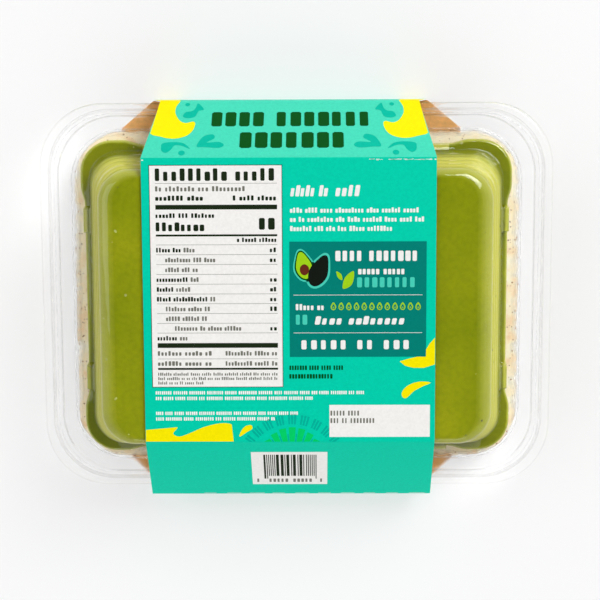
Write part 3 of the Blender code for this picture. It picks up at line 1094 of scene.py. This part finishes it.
drop += [(50.5, -41.0), (54.0, -37.8), (58.0, -35.6)]
ink("yellow", base_panel, curve(drop), 1)

# %% [markdown]
# The upper panel has a headline in dark green between two yellow bites and some splashes, which are drawn
# once and mirrored. The lower panel has the bar code, with made-up stripes.

# %% Upper and lower panels
PANEL_MIDDLE = -2.8
words("dark_green", upper_panel, -38.6, 24.4, 36.0, 11.6, [4, 7], rng, 1, 0.74, 0.0, True)
words("dark_green", upper_panel, -25.2, 7.2, 24.0, 12.4, [7], rng, 1, 0.72, 0.0, True)
bite = [(-54.2, 45.3), (-55.6, 40.5), (-55.6, 35.0), (-53.4, 29.4), (-50.5, 27.2), (-47.2, 28.4)]
bite += [(-46.0, 26.5), (-47.0, 21.0), (-49.8, 16.8), (-55.0, 14.7), (-61.0, 16.2), (-66.3, 21.5)]
corner = curve(bite, 4)[:-4] + [(-63.4, 45.3)]
crook = [(-52.0, 32.5), (-51.0, 36.0), (-48.0, 37.0), (-46.5, 39.5), (-45.5, 43.3)]
crook += [(-42.6, 38.4), (-45.0, 37.0), (-46.5, 32.4), (-49.5, 31.2)]
fan = [(-44.5, 8.5), (-43.0, 14.0), (-41.0, 17.0), (-37.5, 18.0), (-36.7, 15.0)]
fan += [(-40.0, 11.6), (-34.5, 12.0), (-32.2, 9.6), (-34.5, 7.4), (-41.0, 8.0)]
fish = [(-60.5, 8.0), (-60.0, 11.0), (-55.5, 12.0), (-50.5, 11.0), (-47.5, 6.7)]
fish += [(-51.5, 9.2), (-54.5, 9.3), (-56.0, 6.0), (-58.0, 3.7), (-60.0, 5.0)]
splashes = [curve(crook), oval(-50.4, 42.4, 1.1, 1.3), curve(fan), curve(fish), oval(-51.0, 3.5, 1.5, 1.9)]
for side in (False, True):
    ink("yellow", upper_panel, mirrored(corner, PANEL_MIDDLE) if side else corner, 1)
    for splash in splashes:
        ink("splash_teal", upper_panel, mirrored(splash, PANEL_MIDDLE) if side else splash, 2)

ink("label", lower_panel, box(-21.2, -41.9, 14.4, -9.6), 1)
x = -15.5
while x < 9.4:
    wide = rng.choice((0.45, 0.45, 0.9, 1.35))
    deep = 24.0 if (x < -14.0 or x > 8.2) else 21.2
    ink("black", lower_panel, box(x, -12.2 - deep, min(x + wide, 9.8), -12.2), 2)
    x += wide + rng.choice((0.45, 0.45, 0.8))
for left, right, letters in ((-19.0, -17.6, [1]), (-13.2, -3.6, [5]), (-1.8, 7.8, [5]), (11.0, 12.4, [1])):
    words("grey", lower_panel, left, -39.6, right, 3.4, letters, rng, 2, 0.6, 0.0, True)

# %% [markdown]
# ## Over the creases
# The yellow bites run on over the upper crease. Where board is creased its ink cracks, and the white core
# shows: short scuffs on the upper fold and a dashed line along the lower crease. A bump could hint at them,
# but they are flat marks, so they are laid on as one more layer of white. The last loop turns each ink into
# its piece.

# %% Wrap, scuffs and the ink pieces
SCUFFS = 26
CREASE_MARKS = 10
MARK_PITCH = 11.0
wrap = [(-63.4, 0.0), (-54.2, 0.0), (-55.0, 14.0), (-67.0, 14.0)]
strip_top = Vector((0.0, UPPER_CREASE_Y, CREASE_HEIGHT))
strip_panel = Panel(strip_top, Vector((0.0, 0.0, -1.0)), Vector((0.0, 1.0, 0.0)))
for side in (False, True):
    ink("yellow", strip_panel, mirrored(wrap, PANEL_MIDDLE) if side else wrap, 1)

for _ in range(SCUFFS):
    x = rng.uniform(32.0, 62.0)
    y = UPPER_FOLD_Y - 1.0 + rng.uniform(-0.2, 0.2)
    ink("white", base_panel, box(x, y - rng.uniform(0.1, 0.3), x + rng.uniform(0.5, 2.2), y), 1)
crease = 1.3 - math.hypot(LOWER_CREASE_Y - LOWER_FOLD_Y, CREASE_HEIGHT - SLEEVE_TOP)
for k in range(CREASE_MARKS):
    x = -45.0 + MARK_PITCH * k
    ink("white", lower_panel, box(x, crease - 0.3, x + rng.uniform(5.5, 7.5), crease), 1)
for x in (-68.9, 62.6):
    ink("white", base_panel, box(x, UPPER_FOLD_Y - 1.4, x + 0.8, UPPER_FOLD_Y - 0.9), 1)

for colour, bm in printed.items():
    made = finish_mesh("print_" + colour, bm, [inks[colour]], 30.0)
    give(made, "sleeve", replaces=False)

# %% [markdown]
# ## Camera
# The camera looks down on the pack, tilted a little towards its upper side, through a longish lens. It could
# track an empty, but then its small roll would be lost, so its three axes are written out.

# %% Camera
FOCUS = Vector((2.04, 4.45, SLEEVE_TOP))
CAMERA_DISTANCE = 780.0
CAMERA_TILT = 8.9
CAMERA_TURN = 0.59
CAMERA_ROLL = -0.24
FIELD_OF_VIEW = 19.79


def aim_camera():
    """The scene's camera at its distance, tilt, turn and roll from straight above the sleeve's panel."""
    tilt, turn, roll = (math.radians(angle) for angle in (CAMERA_TILT, CAMERA_TURN, CAMERA_ROLL))
    back = Vector((math.sin(turn) * math.cos(tilt), math.sin(tilt), math.cos(turn) * math.cos(tilt)))
    right = (-back).cross(Vector((0.0, 1.0, 0.0))).normalized()
    up = right.cross(-back)
    right, up = right * math.cos(roll) + up * math.sin(roll), up * math.cos(roll) - right * math.sin(roll)
    data = bpy.data.cameras.new("camera")
    data.angle = math.radians(FIELD_OF_VIEW)
    camera = bpy.data.objects.new("camera", data)
    bpy.context.scene.collection.objects.link(camera)
    axes = Matrix((right, up, back)).transposed().to_4x4()
    spot = (FOCUS + Vector((0.0, MIDDLE_Y, 0.0)) + back * CAMERA_DISTANCE) * MM
    camera.matrix_world = Matrix.Translation(spot) @ axes
    bpy.context.scene.camera = camera


aim_camera()

# %% [markdown]
# ## Floor and light
# The floor is plain and white. Under lamps alone it would go grey away from them, so half of its white is
# its own light, which keeps it even and still shows a soft shadow. A wide lamp stands up and to the right,
# weaker ones to the left and below. Straight up the room is dark, so that clear surfaces don't veil what is
# under them. The window panel is seen only in reflections, and gives the plastic its bright spots.

# %% Floor, lamps and room
LIT_SHARE = 0.5
FLOOR_HALF = 2500.0
ROOM_GREYS = ((0.55, 0.9), (0.80, 0.3), (1.0, 0.06))


def build_floor():
    """A plain white floor, part of whose white is its own, so that it stays even round the shadow."""
    material, tree, shader, output = node_tree("white floor")
    white = ramp(tree, texture(tree, 3.0), [(0.3, (0.94, 0.94, 0.945)), (0.7, (0.97, 0.97, 0.975))])
    tree.links.new(white, shader.inputs["Base Color"])
    shader.inputs["Roughness"].default_value = 0.8
    shader.inputs["Specular IOR Level"].default_value = 0.1
    path = add(tree, "ShaderNodeLightPath").outputs
    seen = larger(tree, path["Is Camera Ray"], path["Is Glossy Ray"])
    seen = larger(tree, seen, path["Is Transmission Ray"])
    share = add(tree, "ShaderNodeMath", {0: seen, 1: LIT_SHARE}, operation="MULTIPLY")
    glow = add(tree, "ShaderNodeEmission", {"Color": (0.965, 0.963, 0.965, 1.0), "Strength": 1.0})
    mix = add(tree, "ShaderNodeMixShader", {0: share.outputs[0], 1: shader.outputs[0], 2: glow.outputs[0]})
    tree.links.new(mix.outputs[0], output.inputs["Surface"])
    bm = bmesh.new()
    bmesh.ops.create_grid(bm, x_segments=4, y_segments=4, size=FLOOR_HALF)
    floor = finish_mesh("floor", bm, [material])


def lamp(name, place, size, power, shine_only=False):
    """A square soft lamp that looks at the pack. shine_only makes it a panel seen only in reflections."""
    data = bpy.data.lights.new(name, "AREA")
    data.size = size
    data.energy = power
    made = bpy.data.objects.new(name, data)
    made.location = place
    made.rotation_euler = (Vector(place)).to_track_quat("Z", "Y").to_euler()
    made.visible_diffuse = not shine_only
    made.visible_transmission = not shine_only
    bpy.context.scene.collection.objects.link(made)


build_floor()
lamp("key lamp", (1.1, 1.3, 1.25), 0.9, 20.0)
lamp("left fill lamp", (-1.5, 0.3, 1.1), 1.2, 8.5)
lamp("lower fill lamp", (0.1, -1.5, 1.0), 1.2, 7.0)
lamp("window panel", (0.95, 1.15, 1.30), 1.4, 55.0, shine_only=True)

world = bpy.data.worlds.new("room")
world.use_nodes = True
bpy.context.scene.world = world
room = world.node_tree
height = add(room, "ShaderNodeSeparateXYZ", {"Vector": add(room, "ShaderNodeTexCoord").outputs["Generated"]})
sky = ramp(room, height.outputs["Z"], [(place, (grey, grey, grey)) for place, grey in ROOM_GREYS])
room.links.new(sky, room.nodes["Background"].inputs["Color"])
room.nodes["Background"].inputs["Strength"].default_value = 1.0
bpy.context.scene.view_settings.view_transform = "Standard"
